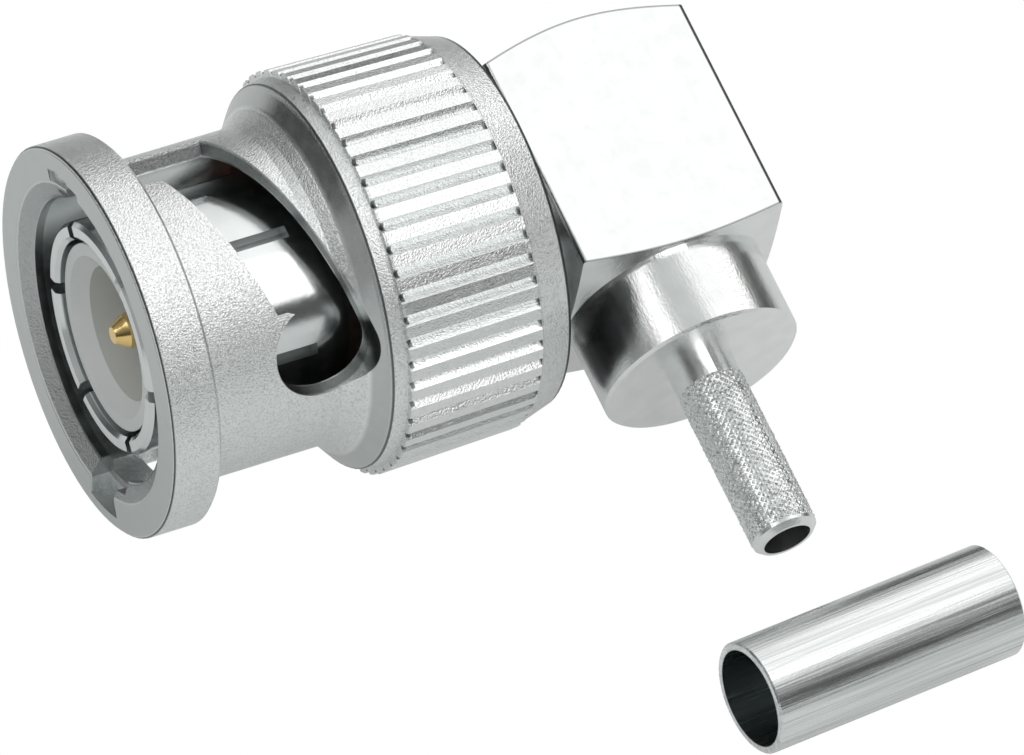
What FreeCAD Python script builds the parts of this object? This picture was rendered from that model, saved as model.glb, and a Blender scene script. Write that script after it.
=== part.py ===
"""Right-angle bayonet coaxial plug for crimping, with its loose crimp ferrule.

Sizes are in millimetres. The plug is drawn along X, from the mouth face at x = 0 to the rear, with the
cable leaving towards -Y, and is then rolled about X until its stem touches the table, as it lies when it
is put down. The origin is the middle of the footprint, on the table.
"""
import FreeCAD, Part
import math
import os

from FreeCAD import Rotation, Vector
from FreeCAD import Base

# Coupling nut: radii, and lengths one behind the other from the mouth
ring_radius = 7.0
ring_width = 1.85
ring_edge = 0.12
barrel_wall = 0.6
barrel_length = 5.15
shoulder_fillet = 0.75
shoulder_flare = 0.45
shoulder_depth = 0.6
collar_edge_radius = 6.9
collar_radius = 7.0
collar_width = 0.5
grip_radius = 7.25
grip_length = 5.08
grip_draft_angle = 1.5
band_step = 0.05
band_width = 1.27
band_angle = 16.0
nut_bore_radius = 5.1
lead_in_height = 0.7
lead_in_depth = 0.42
nut_flange_width = 0.8
clip_pocket_depth = 0.7
clip_pocket_gap = 0.2
rib_count = 54
rib_groove_width = 0.42
rib_groove_depth = 0.22
rib_first_angle = 78.0

# Cam slots: angles about the axis from the cable side towards the bright face
slot_count = 2
entry_angle = 129.5
entry_width = 2.3
entry_groove_depth = 0.4
ramp_start_station = 3.15
ramp_lead = 10.25
slot_width = 2.42
pocket_angle = 37.6
pocket_station = 6.35
pocket_radius = 1.75
cusp_turn = 63.2

# Recesses in the mouth face: a notch at the outer side of each entry, and the oblong mark of an ejector
upper_notch_angle = 123.0
upper_notch_span = 10.0
upper_notch_radius = 6.05
lower_notch_angle = 304.0
lower_notch_span = 19.0
lower_notch_radius = 6.5
notch_depth = 0.7
ejector_mark_angle = 133.5
ejector_mark_span = 15.0
ejector_mark_radius = 6.27
ejector_mark_width = 0.42
ejector_mark_depth = 0.15

# Outer contact: a slotted spring sleeve
contact_setback = 0.5
contact_radius = 4.15
contact_bore_radius = 3.52
contact_tip_edge = 0.14
finger_count = 6
finger_slit_width = 0.45
finger_slit_length = 6.3
finger_slit_angle = 28.5

# Front body: flange, neck and spigot, turned in one piece
running_gap = 0.07
press_gap = 0.02
flange_width = 1.1
flange_seat_depth = 0.8
neck_radius = 3.93
neck_gap = 1.0
spigot_radius = 3.1
spigot_length = 2.5
tail_bore_radius = 2.5

# Soft and springy rings on the neck
gasket_width = 0.7
gasket_wall = 0.8
washer_thickness = 0.35
spring_height = 1.45
spring_strip = 0.2
spring_waves = 3
clip_thickness = 0.5
clip_radius = 4.75
clip_groove_radius = 3.5
clip_opening_angle = 40.0

# Insulators and centre pin
insulator_setback = 0.25
insulator_radius = 3.35
insulator_recess_radius = 2.42
insulator_recess_edge = 0.5
insulator_web = 5.6
insulator_length = 13.3
pin_radius = 0.675
pin_setback = 1.0
pin_tip_radius = 0.3
pin_tip_length = 0.75
pin_shoulder_radius = 1.2
pin_shoulder_width = 0.9
pin_tail_reach = 0.9
pin_slot_width = 0.4
pin_slot_length = 1.6
rear_insulator_length = 4.0

# Angle body: square bar across the plug's axis, turned down to a boss and a crimp stem
bar_width = 7.7
bar_height = 8.0
bar_edge = 0.15
bar_back = 4.65
bar_back_angle = 23.5
bar_front = 4.8
bar_front_angle = 12.0
boss_radius = 3.65
boss_length = 3.02
boss_edge = 0.1
stem_radius = 1.18
stem_length = 7.05
stem_end_edge = 0.18
cable_bore_radius = 0.87
chamber_radius = 2.6
cap_radius = 3.0
cap_thickness = 1.0
cap_edge = 0.12
cap_insulator_thickness = 0.5

# Crimp ferrule, lying on the table beside the stem
ferrule_radius = 2.0
ferrule_bore_radius = 1.73
ferrule_length = 9.85
ferrule_edge = 0.06
ferrule_centre_station = 19.24
ferrule_side_distance = 21.23
ferrule_turn = 5.6

# Radii of the nut that follow from its bore, and stations along the plug that follow from those lengths
barrel_radius = nut_bore_radius + barrel_wall
shoulder_foot_radius = barrel_radius + shoulder_flare
entry_groove_radius = nut_bore_radius + entry_groove_depth
lead_in_radius = nut_bore_radius + lead_in_height
fillet_end = ring_width + barrel_length + shoulder_fillet
collar_start = fillet_end + shoulder_depth
grip_start = collar_start + collar_width
grip_end = grip_start + grip_length
nut_length = grip_end + band_width
grip_rear_radius = grip_radius - grip_length * math.tan(math.radians(grip_draft_angle))
band_radius = grip_rear_radius - band_step
nut_rear_radius = band_radius - band_width * math.tan(math.radians(band_angle))
nut_flange_end = nut_length - clip_pocket_depth
nut_flange_start = nut_flange_end - nut_flange_width
washer_start = nut_flange_start - running_gap / 2 - washer_thickness
flange_end = washer_start - running_gap / 2 - spring_height
flange_start = flange_end - flange_width
flange_radius = nut_bore_radius - running_gap
clip_start = nut_flange_end + running_gap / 2
bar_start = nut_length + neck_gap
bar_end = bar_start + bar_width
cable_station = bar_start + bar_width / 2
insulator_start = contact_setback + insulator_setback
insulator_end = insulator_start + insulator_length
spigot_end = bar_start + spigot_length
cap_start = bar_end - cap_thickness
cap_insulator_start = cap_start - cap_insulator_thickness
boss_end = bar_front + boss_length
stem_end = boss_end + stem_length

# Lying on the table, the grip and the end of the stem both touch it
rest_reach = math.hypot(stem_end - stem_end_edge, stem_radius)
rest_roll = math.asin(grip_radius / rest_reach) - math.atan2(stem_radius, stem_end - stem_end_edge)


def turned(profile):
    """A solid of revolution about X from a closed outline of (station, radius) points."""
    corners = [Vector(station, 0, radius) for station, radius in profile]
    outline = Part.makePolygon(corners + corners[:1])
    return Part.Face(outline).revolve(Vector(0, 0, 0), Vector(1, 0, 0), 360)


def rod(start, end, radius):
    """A plain cylinder about X between two stations."""
    return Part.makeCylinder(radius, end - start, Vector(start, 0, 0), Vector(1, 0, 0))


def plain_ring(start, end, outer, inner):
    """A ring about X with sharp rims."""
    return rod(start, end, outer).cut(rod(start, end, inner))


def about_axis(shape, degrees):
    """A copy turned about X, positive from the cable side towards the bright face."""
    copy = shape.copy()
    copy.rotate(Vector(0, 0, 0), Vector(1, 0, 0), -degrees)
    return copy


def joined(faces):
    """A solid from faces that meet along their edges."""
    shell = Part.makeShell(faces)
    shell.sewShape()
    solid = Part.makeSolid(Part.Shell(shell.Faces))
    if solid.Volume < 0:
        solid.reverse()
    return solid


def wrapped(curves, inner, outer):
    """A closed outline of (angle, station) curves, wrapped round X and cut from inner to outer radius."""
    rims = []
    for radius in (inner, outer):
        surface = Part.Cylinder()
        surface.Radius = radius
        edges = [curve.toShape(surface) for curve in curves]
        rims.append((surface, edges))
    faces = [Part.Face(surface, Part.Wire(edges)) for surface, edges in rims]
    for low, high in zip(rims[0][1], rims[1][1]):
        faces.append(Part.makeRuledSurface(low, high))
    solid = joined(faces)
    # The outline was drawn about Z with its angle from X: bring Z to X and X to the cable side
    turn = Rotation(Vector(0, -1, 0), Vector(0, 0, -1), Vector(1, 0, 0), "ZXY")
    solid.Placement = FreeCAD.Placement(Vector(0, 0, 0), turn)
    return solid


def unrolled(angle, station):
    """A point of the unrolled barrel, with the angle measured towards the bright face."""
    return Base.Vector2d(-math.radians(angle), station)


def unrolled_lines(points):
    """Straight lines of the unrolled barrel through the given points."""
    return [Part.Geom2d.Line2dSegment(a, b) for a, b in zip(points, points[1:])]


def entry_half_angle():
    return math.degrees(entry_width / 2 / barrel_radius)


def entry_groove():
    """The channel in the bore that lets one stud of the mating jack in at the mouth."""
    low = entry_angle - entry_half_angle()
    high = entry_angle + entry_half_angle()
    corners = [(low, -1), (low, ramp_start_station), (high, ramp_start_station), (high, -1), (low, -1)]
    outline = unrolled_lines([unrolled(angle, station) for angle, station in corners])
    return wrapped(outline, contact_radius, entry_groove_radius)


def cam_window():
    """The slot through the barrel: an entry, a helical ramp and a round detent pocket at its end."""
    low = entry_angle - entry_half_angle()
    high = entry_angle + entry_half_angle()
    rear_corner = ramp_start_station + slot_width
    centre = unrolled(pocket_angle, pocket_station)
    major = unrolled(pocket_angle, pocket_station + pocket_radius)
    minor = Base.Vector2d(centre.x + pocket_radius / barrel_radius, pocket_station)
    oval = Part.Geom2d.Ellipse2d(major, minor, centre)
    # The rear edge runs straight from its corner until it touches the pocket
    along = math.radians(high - pocket_angle) * barrel_radius
    back = rear_corner - pocket_station
    touch = math.atan2(back, along) + math.acos(pocket_radius / math.hypot(along, back))
    arc = Part.Geom2d.ArcOfEllipse2d(oval, touch - math.pi / 2, math.pi + math.radians(cusp_turn))
    arc_end = arc.value(arc.LastParameter)
    # The ramp's front edge ends at a cusp that the stud snaps past
    cusp_angle = -math.degrees(arc_end.x)
    cusp_station = ramp_start_station + (low - cusp_angle) * ramp_lead / 360
    points = [
        arc_end,
        unrolled(cusp_angle, cusp_station),
        unrolled(low, ramp_start_station),
        unrolled(low, ring_width),
        unrolled(high, ring_width),
        unrolled(high, rear_corner),
        arc.value(arc.FirstParameter),
    ]
    return wrapped([arc] + unrolled_lines(points), contact_radius, grip_radius + 1)


def rib_groove():
    """One V groove of the grip, following its draft, open at the collar and square at its rear end."""
    start = grip_start
    top = grip_radius + rib_groove_depth
    floor = grip_radius - rib_groove_depth
    section = Part.makePolygon([
        Vector(start, 0, floor), Vector(start, rib_groove_width, top), Vector(start, -rib_groove_width, top),
        Vector(start, 0, floor),
    ])
    drop = (grip_end - start) * math.tan(math.radians(grip_draft_angle))
    return Part.Face(section).extrude(Vector(grip_end - start, 0, -drop))


def mouth_recess(middle, span, inner, outer, depth):
    """An arc-shaped recess in the mouth face, between two radii and of the given span in degrees."""
    section = Part.makePolygon([
        Vector(-1, 0, inner), Vector(-1, 0, outer), Vector(depth, 0, outer), Vector(depth, 0, inner),
        Vector(-1, 0, inner),
    ])
    # The sector is swept from the top, a quarter turn from the cable side, back towards that side
    sector = Part.Face(section).revolve(Vector(0, 0, 0), Vector(1, 0, 0), span)
    return about_axis(sector, middle - 90 + span / 2)


def coupling_nut():
    """One casting: ring, barrel, shoulder, ribbed grip and rear band, with the cam slots through it."""
    fillet_start = ring_width + barrel_length
    outside = turned([
        (0, 0), (0, ring_radius - ring_edge), (ring_edge, ring_radius),
        (ring_width - ring_edge, ring_radius), (ring_width, ring_radius - ring_edge),
        (ring_width, barrel_radius), (fillet_start, barrel_radius),
        (fillet_start + shoulder_fillet * 0.5, barrel_radius + (shoulder_foot_radius - barrel_radius) * 0.27),
        (fillet_end, shoulder_foot_radius), (collar_start, collar_edge_radius),
        (grip_start, collar_radius), (grip_start, grip_radius),
        (grip_end, grip_rear_radius), (grip_end, band_radius),
        (nut_length, nut_rear_radius), (nut_length, 0),
    ])
    lead_in = turned([
        (-1, 0), (-1, lead_in_radius), (0, lead_in_radius), (lead_in_depth, nut_bore_radius),
        (nut_flange_start, nut_bore_radius), (nut_flange_start, neck_radius + running_gap),
        (nut_flange_end, neck_radius + running_gap), (nut_flange_end, clip_radius + clip_pocket_gap),
        (nut_length + 1, clip_radius + clip_pocket_gap), (nut_length + 1, 0),
    ])
    cutters = [lead_in]
    for slot in range(slot_count):
        turn = slot * 360 / slot_count
        cutters.append(about_axis(entry_groove(), turn))
        cutters.append(about_axis(cam_window(), turn))
    groove = rib_groove()
    for rib in range(rib_count):
        # The groove is drawn at the top, a quarter turn from the cable side
        cutters.append(about_axis(groove, rib_first_angle - 90 + rib * 360 / rib_count))
    cutters.append(mouth_recess(upper_notch_angle, upper_notch_span, nut_bore_radius, upper_notch_radius,
                                notch_depth))
    cutters.append(mouth_recess(lower_notch_angle, lower_notch_span, nut_bore_radius, lower_notch_radius,
                                notch_depth))
    cutters.append(mouth_recess(ejector_mark_angle, ejector_mark_span, ejector_mark_radius - ejector_mark_width,
                                ejector_mark_radius, ejector_mark_depth))
    return outside.cut(cutters)


def outer_contact():
    """Spring sleeve, slit from its mouth into fingers, seated in the front body's flange."""
    seat = flange_start + flange_seat_depth
    sleeve = turned([
        (contact_setback, contact_bore_radius + contact_tip_edge),
        (contact_setback, contact_radius - contact_tip_edge), (contact_setback + contact_tip_edge, contact_radius),
        (seat, contact_radius), (seat, contact_bore_radius),
        (contact_setback + contact_tip_edge, contact_bore_radius),
    ])
    slit = Part.makeBox(finger_slit_length + 1, contact_radius + 1, finger_slit_width,
                        Vector(contact_setback - 1, -contact_radius - 1, -finger_slit_width / 2))
    slits = [about_axis(slit, finger_slit_angle + finger * 360 / finger_count) for finger in range(finger_count)]
    return sleeve.cut(slits)


def front_body():
    """Flange that the spring bears on, neck that the nut turns on, and spigot pressed into the bar."""
    outside = turned([
        (flange_start, 0), (flange_start, flange_radius), (flange_end, flange_radius),
        (flange_end, neck_radius), (clip_start, neck_radius), (clip_start, clip_groove_radius),
        (clip_start + clip_thickness + press_gap, clip_groove_radius),
        (clip_start + clip_thickness + press_gap, neck_radius), (bar_start, neck_radius),
        (bar_start, spigot_radius - press_gap), (spigot_end, spigot_radius - press_gap), (spigot_end, 0),
    ])
    seat = rod(flange_start - 1, flange_start + flange_seat_depth, contact_radius)
    dielectric_bore = rod(flange_start, insulator_end, insulator_radius + press_gap)
    tail_bore = rod(insulator_end, spigot_end + 1, tail_bore_radius)
    return outside.cut([seat, dielectric_bore, tail_bore])


def gasket():
    """Soft ring that the mating barrel seats on, in front of the flange."""
    inner = contact_radius + press_gap
    return plain_ring(flange_start - gasket_width, flange_start, inner + gasket_wall, inner)


def wave_spring():
    """Wavy spring strip between the flange and the thrust washer."""
    inner = neck_radius + 2 * running_gap
    outer = flange_radius - running_gap
    swing = (spring_height - spring_strip) / 2

    def wavy_edge(radius, lift):
        points = []
        count = 8 * spring_waves
        for step in range(count):
            angle = 2 * math.pi * step / count
            station = flange_end + swing + lift + swing * math.cos(spring_waves * angle)
            points.append(Vector(station, radius * math.cos(angle), radius * math.sin(angle)))
        curve = Part.BSplineCurve()
        curve.interpolate(Points=points, PeriodicFlag=True)
        return curve.toShape()

    front_inner = wavy_edge(inner, 0)
    front_outer = wavy_edge(outer, 0)
    rear_inner = wavy_edge(inner, spring_strip)
    rear_outer = wavy_edge(outer, spring_strip)
    return joined([
        Part.makeRuledSurface(front_inner, front_outer), Part.makeRuledSurface(rear_inner, rear_outer),
        Part.makeRuledSurface(front_inner, rear_inner), Part.makeRuledSurface(front_outer, rear_outer),
    ])


def thrust_washer():
    """Flat ring between the spring and the nut's inner flange."""
    return plain_ring(washer_start, washer_start + washer_thickness, flange_radius, neck_radius + running_gap)


def retaining_ring():
    """Split ring in the neck's groove, sunk in the nut's rear face, that stops the nut at the rear."""
    start = clip_start + press_gap / 2
    ring = plain_ring(start, start + clip_thickness, clip_radius, clip_groove_radius + press_gap)
    half_gap = clip_radius * math.sin(math.radians(clip_opening_angle / 2))
    opening = Part.makeBox(clip_thickness * 3, clip_radius + 1, 2 * half_gap,
                           Vector(clip_start - clip_thickness, -clip_radius - 1, -half_gap))
    return ring.cut(about_axis(opening, 180 + rib_first_angle))


def front_insulator():
    """Dielectric sleeve with the deep recess that takes the mating dielectric, and a web for the pin."""
    recess_end = insulator_end - insulator_web
    return turned([
        (insulator_start, insulator_recess_radius + insulator_recess_edge),
        (insulator_start, insulator_radius), (insulator_end, insulator_radius),
        (insulator_end, pin_radius + press_gap), (recess_end, pin_radius + press_gap),
        (recess_end, insulator_recess_radius),
        (insulator_start + insulator_recess_edge, insulator_recess_radius),
    ])


def centre_pin():
    """Gold plated pin with a tapered tip, a shoulder between the insulators and a slotted solder tail."""
    shoulder_end = insulator_end + pin_shoulder_width
    tail_end = cable_station + pin_tail_reach
    pin = turned([
        (pin_setback, 0), (pin_setback, pin_tip_radius),
        (pin_setback + pin_tip_length * 0.6, pin_radius * 0.88), (pin_setback + pin_tip_length, pin_radius),
        (insulator_end, pin_radius), (insulator_end, pin_shoulder_radius),
        (shoulder_end, pin_shoulder_radius), (shoulder_end, pin_radius),
        (tail_end, pin_radius), (tail_end, 0),
    ])
    slot = Part.makeBox(pin_slot_length + 1, 4 * pin_radius, pin_slot_width,
                        Vector(tail_end - pin_slot_length, -2 * pin_radius, -pin_slot_width / 2))
    return pin.cut(slot)


def rear_insulator():
    """Bush that centres the pin's tail in the spigot."""
    start = insulator_end
    end = start + rear_insulator_length
    shoulder_end = start + pin_shoulder_width
    outer = tail_bore_radius - press_gap
    return turned([
        (start, pin_shoulder_radius + press_gap), (start, outer), (end, outer),
        (end, pin_radius + press_gap), (shoulder_end, pin_radius + press_gap),
        (shoulder_end, pin_shoulder_radius + press_gap),
    ])


def along_cable(shape):
    """Stand a shape drawn about X on the cable's axis, its stations running out with the cable."""
    turn = Rotation(Vector(0, 0, 1), -90)
    placed = shape.copy()
    placed.Placement = FreeCAD.Placement(Vector(cable_station, 0, 0), turn)
    return placed


def angle_body():
    """Square bar with turned ends, boss and crimp stem, bored for the cable, the spigot and the cap."""
    flat_radius = min(bar_width, bar_height) / 2
    corner_radius = math.hypot(bar_width, bar_height) / 2 + 0.5
    flank = corner_radius - flat_radius
    back_drop = flank * math.tan(math.radians(bar_back_angle))
    front_drop = flank * math.tan(math.radians(bar_front_angle))
    envelope = along_cable(turned([
        (-bar_back, 0), (-bar_back, flat_radius), (back_drop - bar_back, corner_radius),
        (bar_front - front_drop, corner_radius), (bar_front, flat_radius), (bar_front, 0),
    ]))
    depth = 2 * (bar_back + bar_front)
    bar = Part.makeBox(bar_width, depth, bar_height, Vector(bar_start, -depth / 2, -bar_height / 2))
    long_edges = [edge for edge in bar.Edges if abs(edge.tangentAt(edge.FirstParameter).y) > 0.9]
    bar = bar.makeFillet(bar_edge, long_edges)
    boss_and_stem = along_cable(turned([
        (0, 0), (0, boss_radius), (boss_end - boss_edge, boss_radius), (boss_end, boss_radius - boss_edge),
        (boss_end, stem_radius), (stem_end - stem_end_edge, stem_radius),
        (stem_end, stem_radius - stem_end_edge), (stem_end, 0),
    ]))
    cable_bore = along_cable(rod(0, stem_end + 1, cable_bore_radius))
    spigot_bore = rod(bar_start - 1, spigot_end, spigot_radius)
    chamber = rod(spigot_end - 1, cap_start, chamber_radius)
    cap_bore = rod(cap_start, bar_end + 1, cap_radius)
    solid = bar.common(envelope).fuse(boss_and_stem).removeSplitter()
    return solid.cut([cable_bore, spigot_bore, chamber, cap_bore])


def access_cap():
    """Disc pressed into the back face over the solder port."""
    outer = cap_radius - press_gap
    return turned([
        (cap_start, 0), (cap_start, outer), (bar_end - cap_edge, outer), (bar_end, outer - cap_edge),
        (bar_end, 0),
    ])


def cap_insulator():
    """Thin disc that keeps the solder joint off the cap."""
    return rod(cap_insulator_start, cap_start, chamber_radius - press_gap)


def crimp_ferrule():
    """Drawn tube about its own middle, along X."""
    end = ferrule_length / 2
    return turned([
        (-end, ferrule_bore_radius), (-end, ferrule_radius - ferrule_edge), (ferrule_edge - end, ferrule_radius),
        (end - ferrule_edge, ferrule_radius), (end, ferrule_radius - ferrule_edge), (end, ferrule_bore_radius),
    ])


def as_it_lies(shape):
    """The plug rolled about its axis until the stem rests on the table, with the table at z = 0."""
    placed = shape.copy()
    placed.rotate(Vector(0, 0, 0), Vector(1, 0, 0), math.degrees(rest_roll))
    placed.translate(Vector(0, 0, grip_radius))
    return placed


plug = {
    "coupling_nut": coupling_nut(),
    "outer_contact": outer_contact(),
    "front_body": front_body(),
    "gasket": gasket(),
    "wave_spring": wave_spring(),
    "thrust_washer": thrust_washer(),
    "retaining_ring": retaining_ring(),
    "front_insulator": front_insulator(),
    "centre_pin": centre_pin(),
    "rear_insulator": rear_insulator(),
    "angle_body": angle_body(),
    "access_cap": access_cap(),
    "cap_insulator": cap_insulator(),
}
pieces = {name: as_it_lies(shape) for name, shape in plug.items()}
ferrule = crimp_ferrule()
ferrule.rotate(Vector(0, 0, 0), Vector(0, 0, 1), ferrule_turn)
ferrule.translate(Vector(ferrule_centre_station, -ferrule_side_distance, ferrule_radius))
pieces["crimp_ferrule"] = ferrule

# The origin is the middle of everything that lies on the table
footprint = Part.makeCompound(list(pieces.values())).optimalBoundingBox(False)
origin = Vector(footprint.Center.x, footprint.Center.y, 0)

os.makedirs("parts", exist_ok=True)
for name, shape in pieces.items():
    shape.translate(-origin)
    shape.exportStep("parts/" + name + ".step")
    print(name, "solids", len(shape.Solids), "valid", shape.isValid(), "volume", round(shape.Volume, 3))
print("roll", round(math.degrees(rest_roll), 4), "mouth", round(-origin.x, 4), round(-origin.y, 4), grip_radius)
print("nut length", round(nut_length, 3), "bar", round(bar_start, 3), round(bar_end, 3))
print("washer", round(washer_start, 3), "flange", round(flange_start, 3), round(flange_end, 3))
print("footprint", [round(v, 3) for v in (footprint.XLength, footprint.YLength, footprint.ZLength)])
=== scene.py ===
"""Studio picture of a right-angle bayonet coaxial plug and its loose crimp ferrule.

Lengths in the constants are in millimetres and scaled where they are used. The plug's axis runs along X,
its mouth points to -X, and the cable end dips towards -Y.
"""
import math

import bpy
from mathutils import Matrix, Vector


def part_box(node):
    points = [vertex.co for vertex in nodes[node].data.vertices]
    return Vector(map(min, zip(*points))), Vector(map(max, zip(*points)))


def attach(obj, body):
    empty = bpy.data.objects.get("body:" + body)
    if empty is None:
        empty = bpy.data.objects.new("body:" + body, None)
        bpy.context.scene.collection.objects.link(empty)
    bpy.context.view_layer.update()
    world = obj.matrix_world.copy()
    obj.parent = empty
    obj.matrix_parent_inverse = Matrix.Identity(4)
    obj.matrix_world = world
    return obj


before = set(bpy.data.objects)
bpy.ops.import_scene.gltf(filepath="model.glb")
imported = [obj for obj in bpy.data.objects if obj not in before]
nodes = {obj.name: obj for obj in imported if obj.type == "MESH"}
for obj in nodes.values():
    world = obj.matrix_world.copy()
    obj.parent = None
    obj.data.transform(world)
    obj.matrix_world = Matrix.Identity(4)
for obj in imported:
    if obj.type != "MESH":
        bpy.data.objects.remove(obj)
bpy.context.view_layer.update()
MM = 0.001

# Coupling nut: stations behind the mouth, and radii
RING_WIDTH = 1.85
CONE_START = 7.75
COLLAR_START = 8.35
GRIP_START = 8.85
GRIP_END = 13.93
NUT_END = 15.2
LEAD_IN_DEPTH = 0.42
LEAD_IN_RADIUS = 5.8
NUT_BORE = 5.1
BARREL_RADIUS = 5.7
RING_RADIUS = 7.0
GRIP_RADIUS = 7.25
UNDER_RIBS = 6.0

# Angle body, measured from the plug's axis along the cable, and the ferrule
CABLE_STATION = 20.05
BAR_BACK, BACK_TURN = -4.65, math.radians(23.5)
BAR_FRONT, FRONT_TURN = 4.8, math.radians(12.0)
BOSS_END = 7.82
STEM_RADIUS = 1.18
STEM_END = 14.87
FERRULE_BORE = 1.73
FERRULE_TURN = math.radians(5.6)

# The plug as it lies, rolled on its grip until the stem touches the table
ROLL = math.radians(24.8762)
NUT_LOW, NUT_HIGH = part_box("coupling_nut")
MOUTH = Vector((NUT_LOW.x, (NUT_LOW.y + NUT_HIGH.y) / 2, (NUT_LOW.z + NUT_HIGH.z) / 2))
PLUG_FRAME = Matrix.Translation(MOUTH) @ Matrix.Rotation(ROLL, 4, "X")
CABLE_FRAME = (PLUG_FRAME @ Matrix.Translation((CABLE_STATION * MM, 0, 0))
               @ Matrix.Rotation(math.pi / 2, 4, "X"))

# Knurl rolled on the crimp stem
KNURL_START = BOSS_END + 0.72
KNURL_END = STEM_END - 0.3
KNURL_RADIUS = 1.175
KNURL_HEIGHT = 0.05
KNURL_COLUMNS = 30
KNURL_ROWS = 25
KNURL_WANDER = 0.022
KNURL_TUCK = 0.06

# Studio: camera, lamp aims in metres, and how much of the white surroundings metal and matt surfaces see
CAMERA_PLACE = (-140.594, -286.054, 250.909)
CAMERA_TURN = (52.59134, 0.44326, -26.51439)
CAMERA_LENS = 413.96
CENTRE, NUT = (0, 0, 0.005), (0, 0.008, 0.007)
LAMP_TINT = (1.0, 0.965, 0.97)
ROOM_TINT = (0.975, 1.0, 0.995)
TABLE_DROP = 0.02
TABLE_IN_METAL = 0.37
ROOM_IN_METAL = 0.09
ROOM_ON_MATT = 0.38
# Brightness of the room in metal, from straight down (0) over the horizon (0.5) to straight up (1)
ROOM_LEVELS = ((0.0, 0.20), (0.49, 0.20), (0.505, 0.0), (0.62, 0.0), (0.67, 0.05), (0.75, 0.15),
               (0.85, 0.28), (0.92, 0.38), (1.0, 0.62))

# Tones of nickel: the dark of painted shade and painted reflections, the pits, the painted shade on the
# mouth's face, the painted dark reflections on the bar's edges, and the ferrule's bore
PAINTED_SHADE_TONE = (0.04, 0.046, 0.046)
PIT_TONE = (0.36, 0.39, 0.385)
FACE_PAINTED_SHADE = (0.55, 0.58, 0.575)
THIN_EDGE_PAINTED_REFLECTION = (0.36, 0.38, 0.38)
BROAD_EDGE_PAINTED_REFLECTION = (0.05, 0.055, 0.055)
FERRULE_INSIDE_TONE = (0.54, 0.58, 0.58)

# Past every edge of the plug as a length in metres, and before its mouth as a station in millimetres
BEYOND = 1.0


# Shader nodes

def feed(tree, socket, value):
    """Another node's output or a plain value into an input; a colour may leave out its alpha."""
    if isinstance(value, bpy.types.NodeSocket):
        tree.links.new(value, socket)
    elif socket.type == "RGBA":
        socket.default_value = (*value[:3], 1)
    else:
        socket.default_value = value


def node(tree, kind, settings=None, **sockets):
    """A shader node with its settings and its inputs, each a plain value or another node's output."""
    made = tree.nodes.new(kind)
    for name, value in (settings or {}).items():
        setattr(made, name, value)
    for name, value in sockets.items():
        feed(tree, made.inputs[name.replace("_", " ")], value)
    return made


def calculate(tree, operation, *values):
    """Output of a Math node."""
    made = node(tree, "ShaderNodeMath", {"operation": operation})
    for socket, value in zip(made.inputs, values):
        feed(tree, socket, value)
    return made.outputs[0]


def blend(tree, mask, under, over):
    """Colour that is the first one where the mask is 0 and the second where it is 1."""
    made = node(tree, "ShaderNodeMix", {"data_type": "RGBA"})
    for socket, value in zip((made.inputs[0], made.inputs[6], made.inputs[7]), (mask, under, over)):
        feed(tree, socket, value)
    return made.outputs[2]


def darken(tree, tone, mask, strength):
    """Colour made darker where the mask is 1."""
    return blend(tree, calculate(tree, "MULTIPLY", mask, strength), tone, PAINTED_SHADE_TONE)


def ramp(tree, value, steps):
    """Output of a colour ramp with (position, colour) stops."""
    made = node(tree, "ShaderNodeValToRGB", Fac=value)
    stops = made.color_ramp.elements
    while len(stops) < len(steps):
        stops.new(0.5)
    for stop, (place, tone) in zip(stops, steps):
        stop.position = place
        stop.color = (*tone, 1)
    return made.outputs["Color"]


def band(tree, value, low, high, soft):
    """Mask that is 1 between two values of a coordinate, with soft sides."""
    rise = node(tree, "ShaderNodeMapRange", Value=value, From_Min=low - soft, From_Max=low + soft)
    fall = node(tree, "ShaderNodeMapRange", Value=value, From_Min=high + soft, From_Max=high - soft)
    return calculate(tree, "MULTIPLY", rise.outputs["Result"], fall.outputs["Result"])


def spread(tree, pattern, low, high):
    """The middle of a 0 to 1 pattern, mapped on to a range."""
    return node(tree, "ShaderNodeMapRange", Value=pattern, From_Min=0.3, From_Max=0.7, To_Min=low,
                To_Max=high).outputs["Result"]


def axis_distance(tree, first, second):
    """Distance from an axis, from the two coordinates across it."""
    pair = node(tree, "ShaderNodeCombineXYZ", X=first, Y=second)
    return node(tree, "ShaderNodeVectorMath", {"operation": "LENGTH"},
                Vector=pair.outputs["Vector"]).outputs["Value"]


def white_share(tree, share):
    """How much plain white a ray sees: all of it straight from the camera, a share of it in metal."""
    path = tree.nodes.new("ShaderNodeLightPath")
    mirrored = calculate(tree, "ADD", path.outputs["Is Glossy Ray"], path.outputs["Is Transmission Ray"])
    return calculate(tree, "MULTIPLY_ADD", mirrored, share, path.outputs["Is Camera Ray"])


# Studio

def studio_camera():
    """Long lens from the front left and above, as the photograph was taken."""
    data = bpy.data.cameras.new("camera")
    data.sensor_width = 36
    data.lens = CAMERA_LENS
    data.clip_start = 0.05
    data.clip_end = 5
    camera = bpy.data.objects.new("camera", data)
    bpy.context.scene.collection.objects.link(camera)
    camera.location = Vector(CAMERA_PLACE) * MM
    camera.rotation_euler = [math.radians(angle) for angle in CAMERA_TURN]
    bpy.context.scene.camera = camera


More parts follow.
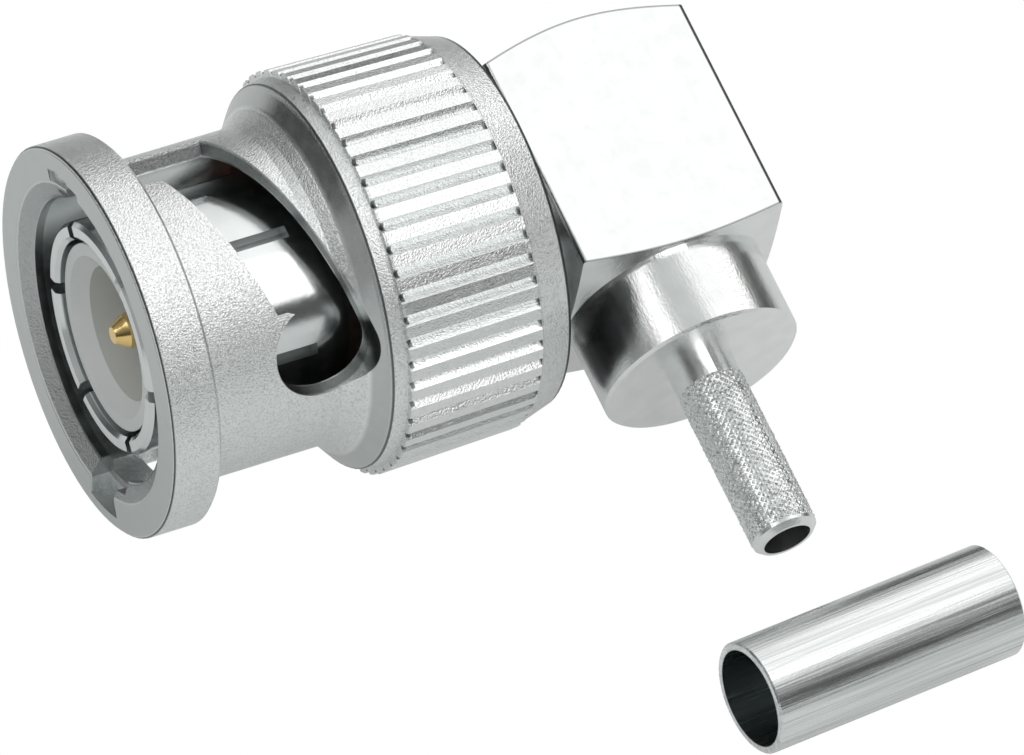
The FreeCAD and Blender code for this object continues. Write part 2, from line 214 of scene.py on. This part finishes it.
def table_top():
    """White table: bare white to the camera, and a pale lit surface to the metal above it."""
    bpy.ops.object.select_all(action="DESELECT")
    bpy.ops.mesh.primitive_plane_add(size=1.6, location=(0, 0, -TABLE_DROP * MM))
    top = bpy.context.object
    top.name = "table_top"
    material = bpy.data.materials.new("table_white")
    material.use_nodes = True
    tree = material.node_tree
    tree.nodes.clear()
    matt = node(tree, "ShaderNodeBsdfDiffuse", Color=(0.60, 0.62, 0.615))
    bare = node(tree, "ShaderNodeEmission", Color=(1, 1, 1))
    mix = node(tree, "ShaderNodeMixShader", Fac=white_share(tree, TABLE_IN_METAL))
    tree.links.new(matt.outputs["BSDF"], mix.inputs[1])
    tree.links.new(bare.outputs["Emission"], mix.inputs[2])
    node(tree, "ShaderNodeOutputMaterial", Surface=mix.outputs["Shader"])
    top.data.materials.append(material)


def studio_world():
    """White to the camera, even to matt surfaces, and to metal a ceiling that dims to the horizon."""
    world = bpy.data.worlds.new("studio")
    bpy.context.scene.world = world
    world.use_nodes = True
    tree = world.node_tree
    tree.nodes.clear()
    direction = node(tree, "ShaderNodeTexCoord")
    split = node(tree, "ShaderNodeSeparateXYZ", Vector=direction.outputs["Generated"])
    height = node(tree, "ShaderNodeMapRange", Value=split.outputs["Z"], From_Min=-1.0)
    steps = [(place, [level * channel for channel in ROOM_TINT]) for place, level in ROOM_LEVELS]
    on_matt = [ROOM_ON_MATT * channel for channel in ROOM_TINT]
    path = tree.nodes.new("ShaderNodeLightPath")
    in_metal = ramp(tree, height.outputs["Result"], steps)
    level = blend(tree, path.outputs["Is Diffuse Ray"], in_metal, on_matt)
    room = node(tree, "ShaderNodeBackground", Color=level)
    white = node(tree, "ShaderNodeBackground", Color=(1, 1, 1))
    mix = node(tree, "ShaderNodeMixShader", Fac=white_share(tree, ROOM_IN_METAL))
    tree.links.new(room.outputs["Background"], mix.inputs[1])
    tree.links.new(white.outputs["Background"], mix.inputs[2])
    node(tree, "ShaderNodeOutputWorld", Surface=mix.outputs["Shader"])


def softbox(name, aim, place, size, brightness):
    """Strip lamp aimed at a point, its second side front to back; brightness is its look in a mirror."""
    data = bpy.data.lights.new(name, "AREA")
    data.shape = "RECTANGLE"
    data.size, data.size_y = size
    data.energy = brightness * math.pi * size[0] * size[1]
    data.color = LAMP_TINT
    lamp = bpy.data.objects.new(name, data)
    bpy.context.scene.collection.objects.link(lamp)
    lamp.location = place
    back = (Vector(place) - Vector(aim)).normalized()
    side = Vector((0, 1, 0)).cross(back).normalized()
    lamp.rotation_euler = Matrix((side, back.cross(side), back)).transposed().to_euler()


# Effects that several finishes share

def new_effect(name, inputs, outputs):
    """An empty node group with number inputs (name, default) and number outputs."""
    tree = bpy.data.node_groups.new(name, "ShaderNodeTree")
    for label, default in inputs:
        socket = tree.interface.new_socket(label, in_out="INPUT", socket_type="NodeSocketFloat")
        socket.default_value = default
    for label in outputs:
        tree.interface.new_socket(label, in_out="OUTPUT", socket_type="NodeSocketFloat")
    return tree, tree.nodes.new("NodeGroupInput"), tree.nodes.new("NodeGroupOutput")


def station_effect():
    """Where a point is on the plug, in mm: its station behind the mouth and its distance from the axis."""
    tree, _, result = new_effect("plug_station", [], ["Station", "Radius"])
    here = node(tree, "ShaderNodeTexCoord")
    placed = node(tree, "ShaderNodeMapping", {"vector_type": "TEXTURE"}, Vector=here.outputs["Object"],
                  Location=MOUTH, Scale=(MM, MM, MM))
    split = node(tree, "ShaderNodeSeparateXYZ", Vector=placed.outputs["Vector"])
    tree.links.new(split.outputs["X"], result.inputs["Station"])
    tree.links.new(axis_distance(tree, split.outputs["Y"], split.outputs["Z"]), result.inputs["Radius"])
    return tree


def cast_grain_effect():
    """Skin of a die casting under plating: fine grains, pits between them, and wide shallow dents."""
    tree, given, result = new_effect("cast_grain", [("Grain Size", 0.1), ("Unevenness", 0.3)],
                                     ["Height", "Mottle", "Pits"])
    here = node(tree, "ShaderNodeTexCoord")
    per_metre = calculate(tree, "DIVIDE", 1 / MM, given.outputs["Grain Size"])
    grains = node(tree, "ShaderNodeTexNoise", Vector=here.outputs["Object"], Scale=per_metre, Detail=2.5,
                  Roughness=0.6)
    wide = calculate(tree, "MULTIPLY", per_metre, 0.13)
    dents = node(tree, "ShaderNodeTexNoise", Vector=here.outputs["Object"], Scale=wide, Detail=2.0,
                 Roughness=0.5)
    uneven = calculate(tree, "MULTIPLY", dents.outputs["Fac"], given.outputs["Unevenness"])
    pits = node(tree, "ShaderNodeMapRange", Value=grains.outputs["Fac"], From_Min=0.48, From_Max=0.36)
    tree.links.new(calculate(tree, "ADD", grains.outputs["Fac"], uneven), result.inputs["Height"])
    tree.links.new(dents.outputs["Fac"], result.inputs["Mottle"])
    tree.links.new(pits.outputs["Result"], result.inputs["Pits"])
    return tree


def tool_lines_effect():
    """Fine parallel tool lines: long along the third axis of the given coordinates, narrow across it."""
    tree, given, result = new_effect("tool_lines", [("Line Width", 0.05), ("Line Length", 8.0)],
                                     ["Height", "Streak"])
    tree.interface.new_socket("Vector", in_out="INPUT", socket_type="NodeSocketVector")
    narrow = calculate(tree, "DIVIDE", 1 / MM, given.outputs["Line Width"])
    along = calculate(tree, "DIVIDE", 1 / MM, given.outputs["Line Length"])
    stretch = node(tree, "ShaderNodeCombineXYZ", X=narrow, Y=narrow, Z=along)
    scaled = node(tree, "ShaderNodeVectorMath", {"operation": "MULTIPLY"})
    tree.links.new(given.outputs["Vector"], scaled.inputs[0])
    tree.links.new(stretch.outputs["Vector"], scaled.inputs[1])
    lines = node(tree, "ShaderNodeTexNoise", Vector=scaled.outputs["Vector"], Scale=1.0, Detail=3.0,
                 Roughness=0.6)
    broad = node(tree, "ShaderNodeTexNoise", Vector=scaled.outputs["Vector"], Scale=0.22, Detail=1.0)
    tree.links.new(lines.outputs["Fac"], result.inputs["Height"])
    tree.links.new(broad.outputs["Fac"], result.inputs["Streak"])
    return tree


def effect(tree, group, **sockets):
    """A shared effect placed in a material with that material's own values."""
    return node(tree, "ShaderNodeGroup", {"node_tree": group}, **sockets)


STATION = station_effect()
CAST_GRAIN = cast_grain_effect()
TOOL_LINES = tool_lines_effect()


# Finishes

def finish(name, metallic=1.0):
    """A Principled material; its colour, roughness pattern and bump are wired by the caller."""
    material = bpy.data.materials.new(name)
    material.use_nodes = True
    shader = material.node_tree.nodes["Principled BSDF"]
    shader.inputs["Metallic"].default_value = metallic
    return material, material.node_tree, shader


def wire(tree, shader, height, depth, tone, shine):
    """Bump of the given depth in mm, and the colour and roughness patterns, into the shader."""
    bump = node(tree, "ShaderNodeBump", Height=height, Distance=depth * MM)
    tree.links.new(bump.outputs["Normal"], shader.inputs["Normal"])
    tree.links.new(tone, shader.inputs["Base Color"])
    tree.links.new(shine, shader.inputs["Roughness"])


def zone(tree, place, stations, radii):
    """Mask of a ring round the plug's axis: low side, high side and softness of its stations and radii."""
    return calculate(tree, "MULTIPLY", band(tree, place.outputs["Station"], *stations),
                     band(tree, place.outputs["Radius"], *radii))


def cast_nickel():
    """Coupling nut: grainy as cast, with the mouth face and the shoulder's cone smooth from the die."""
    material, tree, shader = finish("cast_nickel")
    place = effect(tree, STATION)
    station, radius = place.outputs["Station"], place.outputs["Radius"]
    grain = effect(tree, CAST_GRAIN, Grain_Size=0.07, Unevenness=0.2)
    mottle = grain.outputs["Mottle"]

    # The skin is nearly smooth on the die's flat places and in the bore, and half as rough on the grip
    face = band(tree, station, -BEYOND, 0.03, 0.02)
    cone = band(tree, station, CONE_START + 0.03, COLLAR_START - 0.05, 0.08)
    bore = band(tree, radius, 0.0, NUT_BORE + 0.04, 0.04)
    grip = band(tree, station, GRIP_START + 0.05, GRIP_END - 0.03, 0.05)
    smooth = calculate(tree, "MAXIMUM", calculate(tree, "MAXIMUM", face, cone), bore)
    skin = calculate(tree, "MULTIPLY", calculate(tree, "MULTIPLY_ADD", smooth, -0.93, 1.0),
                     calculate(tree, "MULTIPLY_ADD", grip, -0.5, 1.0))
    height = calculate(tree, "MULTIPLY", grain.outputs["Height"], skin)
    pits = calculate(tree, "MULTIPLY", grain.outputs["Pits"], skin)

    tone = ramp(tree, mottle, ((0.3, (0.81, 0.84, 0.835)), (0.7, (0.86, 0.89, 0.885))))
    tone = blend(tree, calculate(tree, "MULTIPLY", pits, 0.4), tone, PIT_TONE)
    # Painted shade: the mouth's face is coloured darker than the rest of the nut
    tone = blend(tree, face, tone, FACE_PAINTED_SHADE)

    # Painted shade and painted dark reflections on the nut, each place with how dark it is painted
    painted_shade_places = (
        # Painted shade in the mouth, over the lead-in and the front of the bore
        (zone(tree, place, (0.05, LEAD_IN_DEPTH + 0.3, 0.02), (0.0, LEAD_IN_RADIUS + 0.02, 0.02)), 0.45),
        # Painted dark reflection all round the shoulder's cone
        (band(tree, station, CONE_START + 0.07, COLLAR_START - 0.04, 0.05), 0.35),
        # Painted shade on the walls of the bayonet slots, in the barrel's thickness
        (zone(tree, place, (RING_WIDTH + 0.45, COLLAR_START + 0.25, 0.2),
              (NUT_BORE + 0.04, BARREL_RADIUS - 0.1, 0.05)), 0.6),
        # Painted shade line in the crease where the cone meets the collar
        (band(tree, station, COLLAR_START - 0.04, COLLAR_START + 0.03, 0.015), 0.85),
        # Painted dark reflection: a near-black line along the mouth's outer edge
        (zone(tree, place, (0.02, 0.1, 0.02), (RING_RADIUS - 0.07, RING_RADIUS + 1.0, 0.01)), 0.97),
        # Painted shadow at the nut's rear end, in the gap to the angle body
        (band(tree, station, NUT_END - 0.1, NUT_END + 0.2, 0.02), 0.97),
        # Painted shade where the grooves between the ribs end at the front of the grip
        (zone(tree, place, (GRIP_START + 0.02, GRIP_START + 0.18, 0.02),
              (UNDER_RIBS, GRIP_RADIUS - 0.07, 0.02)), 0.8),
        # Fainter painted shade where the grooves between the ribs end at the rear of the grip
        (zone(tree, place, (GRIP_END - 0.09, GRIP_END + 0.06, 0.02),
              (UNDER_RIBS, GRIP_RADIUS - 0.2, 0.02)), 0.45),
    )
    for mask, strength in painted_shade_places:
        tone = darken(tree, tone, mask, strength)
    wire(tree, shader, height, 0.036, tone, spread(tree, mottle, 0.18, 0.27))
    return material


def reach(name, frame_matrix):
    """Lowest and highest corner of a node in another frame."""
    item = nodes[name]
    there = frame_matrix.inverted() @ item.matrix_world
    corners = [there @ vertex.co for vertex in item.data.vertices]
    return [Vector([pick(corner[axis] for corner in corners) for axis in range(3)]) for pick in (min, max)]


def bar_edge_reflections(tree, turned):
    """Masks of the painted dark reflections on the edges round the bar's two flat faces: the thin ones, and
    the broad outer one.
    """
    low, high = reach("angle_body", CABLE_FRAME)
    split = node(tree, "ShaderNodeSeparateXYZ", Vector=turned)
    along, across, length = split.outputs["X"], split.outputs["Y"], split.outputs["Z"]
    flats = calculate(tree, "MAXIMUM", band(tree, across, high.y - 0.03 * MM, BEYOND, 0.01 * MM),
                      band(tree, across, -BEYOND, low.y + 0.03 * MM, 0.01 * MM))
    inner_side = band(tree, along, -BEYOND, low.x + 0.07 * MM, 0.02 * MM)
    outer_side = band(tree, along, high.x - 0.16 * MM, BEYOND, 0.02 * MM)
    # Both ends of the bar are turned to shallow cones about the cable's axis
    past_flat = calculate(tree, "SUBTRACT", axis_distance(tree, along, across), high.x)
    back = calculate(tree, "MULTIPLY_ADD", past_flat, -math.tan(BACK_TURN), length)
    front = calculate(tree, "MULTIPLY_ADD", past_flat, math.tan(FRONT_TURN), length)
    ends = calculate(tree, "MAXIMUM", band(tree, back, -BEYOND, (BAR_BACK + 0.07) * MM, 0.02 * MM),
                     band(tree, front, (BAR_FRONT - 0.05) * MM, BEYOND, 0.02 * MM))
    thin = calculate(tree, "MULTIPLY", calculate(tree, "MAXIMUM", inner_side, ends), flats)
    return thin, calculate(tree, "MULTIPLY", outer_side, flats)


def turned_nickel():
    """Angle body: nickel over turned and milled brass, with fine tool lines round the cable's axis."""
    material, tree, shader = finish("turned_nickel")
    here = node(tree, "ShaderNodeTexCoord")
    turned = node(tree, "ShaderNodeMapping", {"vector_type": "TEXTURE"}, Vector=here.outputs["Object"],
                  Location=CABLE_FRAME.to_translation(), Rotation=CABLE_FRAME.to_euler()).outputs["Vector"]
    lines = effect(tree, TOOL_LINES, Vector=turned, Line_Width=0.09, Line_Length=0.5)
    grain = effect(tree, CAST_GRAIN, Grain_Size=0.09, Unevenness=0.0)
    height = calculate(tree, "ADD", lines.outputs["Height"], grain.outputs["Height"])
    tone = ramp(tree, grain.outputs["Mottle"], ((0.3, (0.81, 0.83, 0.825)), (0.7, (0.86, 0.88, 0.875))))
    # Painted dark reflections along the bar's edges: thin ones, and a broad dark one on the outer edge
    thin_edge_reflection, broad_edge_reflection = bar_edge_reflections(tree, turned)
    tone = blend(tree, thin_edge_reflection, tone, THIN_EDGE_PAINTED_REFLECTION)
    tone = blend(tree, broad_edge_reflection, tone, BROAD_EDGE_PAINTED_REFLECTION)
    wire(tree, shader, height, 0.006, tone, spread(tree, lines.outputs["Streak"], 0.18, 0.25))
    return material


def drawn_nickel():
    """Ferrule: drawn tube with fine marks along its length."""
    material, tree, shader = finish("drawn_nickel")
    here = node(tree, "ShaderNodeTexCoord")
    centre = sum(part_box("crimp_ferrule"), Vector()) / 2
    laid = node(tree, "ShaderNodeMapping", {"vector_type": "TEXTURE"}, Vector=here.outputs["Object"],
                Location=centre, Rotation=(0, math.pi / 2, FERRULE_TURN))
    lines = effect(tree, TOOL_LINES, Vector=laid.outputs["Vector"], Line_Width=0.1, Line_Length=7.0)
    grain = effect(tree, CAST_GRAIN, Grain_Size=0.1, Unevenness=0.2)
    height = calculate(tree, "MULTIPLY_ADD", grain.outputs["Height"], 0.25, lines.outputs["Height"])
    broad = calculate(tree, "MULTIPLY", lines.outputs["Streak"], 0.4)
    marks = calculate(tree, "MULTIPLY_ADD", lines.outputs["Height"], 0.6, broad)
    outside = ramp(tree, marks, ((0.4, (0.56, 0.59, 0.585)), (0.56, (0.81, 0.84, 0.835))))
    split = node(tree, "ShaderNodeSeparateXYZ", Vector=laid.outputs["Vector"])
    radius = axis_distance(tree, split.outputs["X"], split.outputs["Y"])
    inside = band(tree, radius, -BEYOND, (FERRULE_BORE + 0.03) * MM, 0.02 * MM)
    tone = blend(tree, inside, outside, FERRULE_INSIDE_TONE)
    wire(tree, shader, height, 0.011, tone, spread(tree, lines.outputs["Height"], 0.18, 0.3))
    return material


def knurled_nickel():
    """Knurl on the stem: plated, with bruised peaks."""
    material, tree, shader = finish("knurled_nickel")
    grain = effect(tree, CAST_GRAIN, Grain_Size=0.09, Unevenness=0.3)
    tone = ramp(tree, grain.outputs["Pits"], ((0.0, (0.82, 0.855, 0.85)), (1.0, (0.40, 0.43, 0.425))))
    shine = spread(tree, grain.outputs["Mottle"], 0.2, 0.32)
    wire(tree, shader, grain.outputs["Height"], 0.04, tone, shine)
    return material


def even_finish(name, metallic, grain_size, unevenness, tones, depth, shine):
    """Finish with only a faint mottle between two tones, a bump in mm, and a range of roughness."""
    material, tree, shader = finish(name, metallic)
    grain = effect(tree, CAST_GRAIN, Grain_Size=grain_size, Unevenness=unevenness)
    tone = ramp(tree, grain.outputs["Mottle"], ((0.3, tones[0]), (0.7, tones[1])))
    wire(tree, shader, grain.outputs["Height"], depth, tone, spread(tree, grain.outputs["Mottle"], *shine))
    return material


# Pieces

def pick_edges(mesh, wanted):
    """Select only the edges for which wanted(direction, middle) is true, in edit mode's edge mode."""
    bpy.ops.object.mode_set(mode="OBJECT")
    corners = [vertex.co for vertex in mesh.vertices]
    for item in list(mesh.vertices) + list(mesh.edges) + list(mesh.polygons):
        item.select = False
    for edge in mesh.edges:
        start, end = (corners[index] for index in edge.vertices)
        edge.select = wanted((end - start).normalized(), (start + end) / 2)
    bpy.ops.object.mode_set(mode="EDIT")


def stem_knurl():
    """Fine diamond knurl round the crimp stem, a little uneven as rolled knurls are."""
    depth = (KNURL_END - KNURL_START) * MM
    row = depth / KNURL_ROWS
    bpy.ops.object.select_all(action="DESELECT")
    bpy.ops.mesh.primitive_circle_add(vertices=KNURL_COLUMNS, radius=KNURL_RADIUS * MM, location=(0, 0, 0))
    sleeve = bpy.context.object
    sleeve.name = "stem_knurl"
    mesh = sleeve.data
    bpy.ops.object.mode_set(mode="EDIT")
    bpy.ops.mesh.select_mode(type="EDGE")
    bpy.ops.mesh.select_all(action="SELECT")
    for _ in range(KNURL_ROWS):
        bpy.ops.mesh.extrude_region_move(TRANSFORM_OT_translate={"value": (0, 0, row)})
    bpy.ops.mesh.select_all(action="SELECT")
    bpy.ops.mesh.poke()
    # The straight edges between the rows and columns go, which leaves diamonds
    pick_edges(mesh, lambda way, middle: (abs(way.z) > 0.99 or abs(way.z) < 0.01)
               and row * 0.5 < middle.z < depth - row * 0.5)
    bpy.ops.mesh.dissolve_edges(use_verts=False)
    bpy.ops.mesh.select_mode(type="FACE")
    bpy.ops.mesh.select_all(action="SELECT")
    bpy.ops.mesh.normals_make_consistent(inside=False)
    bpy.ops.mesh.poke(offset=KNURL_HEIGHT * MM)
    # The seed fixes the draws, but extruding numbers the faces anew each run, so they fall on other points
    bpy.ops.transform.vertex_random(offset=KNURL_WANDER * MM, seed=3)
    # Both ends turn in to the stem
    bpy.ops.mesh.select_mode(type="EDGE")
    bpy.ops.mesh.select_all(action="DESELECT")
    bpy.ops.mesh.select_non_manifold()
    bpy.ops.mesh.extrude_region_move()
    shrink = (STEM_RADIUS - KNURL_TUCK) / KNURL_RADIUS
    bpy.ops.transform.resize(value=(shrink, shrink, 1))
    bpy.ops.mesh.select_all(action="SELECT")
    bpy.ops.mesh.normals_make_consistent(inside=False)
    bpy.ops.object.mode_set(mode="OBJECT")
    mesh.transform(CABLE_FRAME @ Matrix.Translation((0, 0, KNURL_START * MM)))
    mesh.materials.append(knurled_nickel())
    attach(sleeve, "plug")


studio_camera()
table_top()
studio_world()
softbox("ceiling_strip", CENTRE, (0.19, 0.085, 0.36), (0.27, 0.80), 0.68)
softbox("left_strip", CENTRE, (-0.255, -0.05, 0.35), (0.15, 0.42), 1.2)
softbox("left_card", CENTRE, (-0.35, -0.06, 0.09), (0.16, 0.24), 0.3)
softbox("front_card", NUT, (0.022, -0.096, 0.113), (0.080, 0.116), 1.7)
softbox("right_card", CENTRE, (0.28, -0.165, 0.125), (0.14, 0.14), 0.8)
softbox("rear_card", CENTRE, (0.27, 0.15, 0.235), (0.15, 0.22), 1.7)
stem_knurl()

smooth_nickel = even_finish("smooth_nickel", 1, 0.2, 0.5, ((0.70, 0.735, 0.73), (0.77, 0.81, 0.805)),
                            0.002, (0.13, 0.2))
gold_plate = even_finish("gold_plate", 1, 0.12, 0.4, ((0.86, 0.62, 0.24), (0.93, 0.72, 0.36)),
                         0.002, (0.12, 0.2))
white_dielectric = even_finish("white_dielectric", 0, 0.25, 1.0, ((0.74, 0.77, 0.765), (0.79, 0.815, 0.81)),
                               0.004, (0.4, 0.55))
red_rubber = even_finish("red_rubber", 0, 0.15, 0.6, ((0.36, 0.09, 0.05), (0.44, 0.12, 0.07)),
                         0.01, (0.5, 0.7))
spring_strip = even_finish("spring_strip", 1, 0.15, 0.4, ((0.54, 0.54, 0.53), (0.64, 0.64, 0.63)),
                           0.004, (0.25, 0.38))
finished = (
    (cast_nickel(), ["coupling_nut"]),
    (turned_nickel(), ["angle_body"]),
    (drawn_nickel(), ["crimp_ferrule"]),
    (smooth_nickel, ["outer_contact", "front_body", "access_cap"]),
    (gold_plate, ["centre_pin"]),
    (white_dielectric, ["front_insulator", "rear_insulator", "cap_insulator"]),
    (red_rubber, ["gasket"]),
    (spring_strip, ["wave_spring", "thrust_washer", "retaining_ring"]),
)
for material, names in finished:
    for name in names:
        nodes[name].data.materials.clear()
        nodes[name].data.materials.append(material)

bpy.context.scene.view_settings.view_transform = "Standard"
